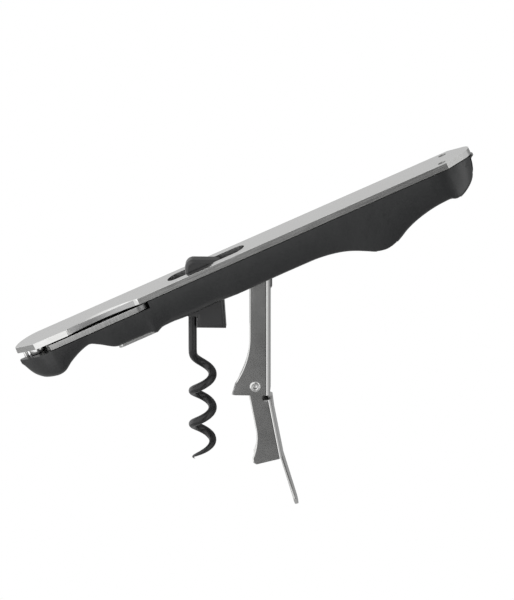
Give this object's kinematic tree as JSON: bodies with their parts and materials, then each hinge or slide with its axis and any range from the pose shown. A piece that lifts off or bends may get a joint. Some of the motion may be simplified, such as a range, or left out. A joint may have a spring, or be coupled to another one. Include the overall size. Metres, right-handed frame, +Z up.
{
  "type": "push-pull corkscrew",
  "caption": "Push-pull corkscrew with a steel-topped curved handle, folding worm, two-step lever, foil blade and crown-cap opener, drawn at work on a bottle's mouth.",
  "frame": {"origin": "the worm's axis where it crosses the plane of the bottle's rim", "axes": "+Z up along the bottle, +X from the worm towards the lever, +Y across the handle, away from its blade side"},
  "size_m": [0.1307, 0.0124, 0.1072],
  "materials": {
    "plate": "brushed along its length",
    "grip": "satin charcoal",
    "hub": "satin black",
    "worm": "black low-friction coating",
    "lever": "satin, drawn sheet",
    "blade": "ground",
    "fastener": "satin",
    "lip": "satin"
  },
  "bodies": {
    "handle": {"top_plate": "plate", "plate_studs": "fastener", "plate_screws": "fastener", "grip": "grip", "liner_near": "lever", "liner_far": "lever", "hub_pin": "fastener", "hub_washers": "fastener", "lever_pin": "fastener", "lever_spacer": "fastener", "blade_pin": "fastener", "blade_washer": "fastener", "blade_stop_pin": "fastener", "opener_lip": "lip", "lip_rivets": "fastener"},
    "worm": {"worm_hub": "hub", "worm": "worm"},
    "lever": {"lever_upper": "lever", "step_rivet": "fastener"},
    "step": {"step_lever": "lever"},
    "blade": {"blade": "blade"}
  },
  "joints": [
    {"name": "lever_swing", "type": "hinge", "parent": "handle", "child": "lever", "pos_m": [0.01626, 0, 0.03919], "axis": [0, -1, 0], "range_deg": [-8, 113.75]},
    {"name": "worm_swing", "type": "hinge", "parent": "handle", "child": "worm", "pos_m": [0.001, 0, 0.031], "axis": [0, -1, 0], "range_deg": [-8, 113.75]},
    {"name": "step_swing", "type": "hinge", "parent": "lever", "child": "step", "pos_m": [0.0153, 0, 0.00265], "axis": [0, -1, 0], "range_deg": [-10.9, 20]},
    {"name": "blade_swing", "type": "hinge", "parent": "handle", "child": "blade", "pos_m": [-0.04731, 0, 0.01175], "axis": [0.4266, 0, -0.9045], "range_deg": [0, 150]}
  ],
  "couplings": [
    {"joint": "worm_swing", "follows": "lever_swing", "ratio": 1},
    {"joint": "step_swing", "follows": "lever_swing", "ratio": -0.0958}
  ]
}
